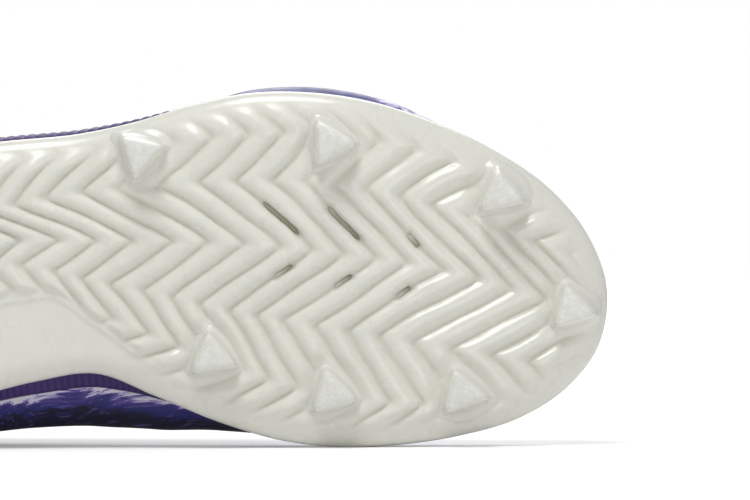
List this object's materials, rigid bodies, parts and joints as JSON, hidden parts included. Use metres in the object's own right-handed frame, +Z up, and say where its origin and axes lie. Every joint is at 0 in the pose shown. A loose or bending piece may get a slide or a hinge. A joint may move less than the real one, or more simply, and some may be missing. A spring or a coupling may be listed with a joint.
{
  "type": "football cleat",
  "caption": "Low football cleat for the right foot with a moulded, ribbed and studded plate and a hollow lasted upper, lying on its side.",
  "frame": {"origin": "on the floor, under the middle of the shoe's box as it lies on its medial side", "axes": "+X from heel to toe, -Y the way the sole faces, +Z up from the floor the shoe lies on"},
  "size_m": [0.3016, 0.114, 0.1077],
  "materials": {
    "sole": "off-white moulded plastic, glossy, with rough stud tips",
    "upper": "coated pale lavender skin with a printed violet and indigo pattern",
    "rand": "dark violet, finely ribbed",
    "tongue": "padded dark violet knit",
    "insole": "dark violet sock liner",
    "laces": "flat woven violet lace"
  },
  "bodies": {
    "root": {"outsole": "sole", "upper": "upper", "rand": "rand", "tongue": "tongue", "insole": "insole", "lace_bar": "laces", "lace_cross_1": "laces", "lace_cross_2": "laces", "lace_cross_3": "laces"}
  },
  "joints": []
}
